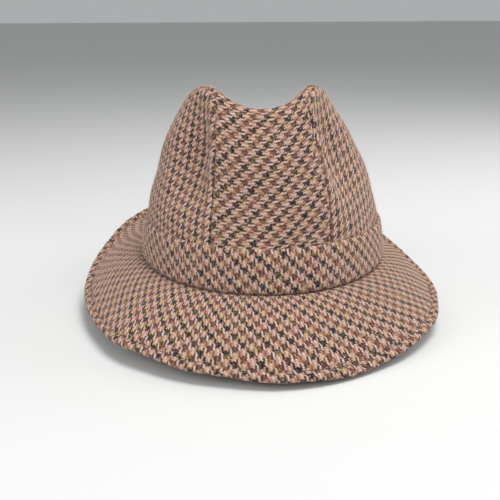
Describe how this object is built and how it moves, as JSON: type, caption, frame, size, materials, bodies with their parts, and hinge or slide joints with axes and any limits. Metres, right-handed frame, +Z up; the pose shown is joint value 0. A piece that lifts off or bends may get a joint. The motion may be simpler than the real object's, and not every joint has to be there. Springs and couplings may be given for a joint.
{
  "type": "snap-brim fedora hat",
  "caption": "Tweed fedora with a pinched three-panel crown, centre crease, self-cloth band, stitched brim that snaps down at the front, satin lining and leather sweatband.",
  "frame": {"origin": "centre of the head opening, at the break between the crown and the brim", "axes": "+Z up to the crown, -Y the front of the hat, +X the wearer's left"},
  "size_m": [0.2763, 0.3092, 0.1712],
  "materials": {
    "tweed": "matte",
    "interlining": "matte",
    "lining": "satin",
    "lining_piping": "satin",
    "sweatband_leather": "satin",
    "thread": "matte",
    "label": "matte"
  },
  "bodies": {
    "hat": {"crown_centre_panel": "tweed", "crown_side_panel_left": "tweed", "crown_side_panel_right": "tweed", "crown_interlining_centre": "interlining", "crown_interlining_left": "interlining", "crown_interlining_right": "interlining", "lining_centre": "lining", "lining_left": "lining", "lining_right": "lining", "lining_piping_left": "lining_piping", "lining_piping_right": "lining_piping", "hat_band": "tweed", "brim_top_cloth": "tweed", "brim_stiffener": "interlining", "brim_under_cloth": "tweed", "brim_edge_stitching": "thread", "sweatband": "sweatband_leather", "sweatband_reed": "sweatband_leather", "sweatband_stitching": "thread", "size_label": "label"},
    "front_brim": {"front_brim_top_cloth": "tweed", "front_brim_stiffener": "interlining", "front_brim_under_cloth": "tweed", "front_brim_edge_stitching": "thread"}
  },
  "joints": [
    {"name": "front_brim_snap", "type": "hinge", "parent": "hat", "child": "front_brim", "pos_m": [0, -0.116, 0], "axis": [-1, 0, 0], "range_deg": [0, 35]}
  ]
}
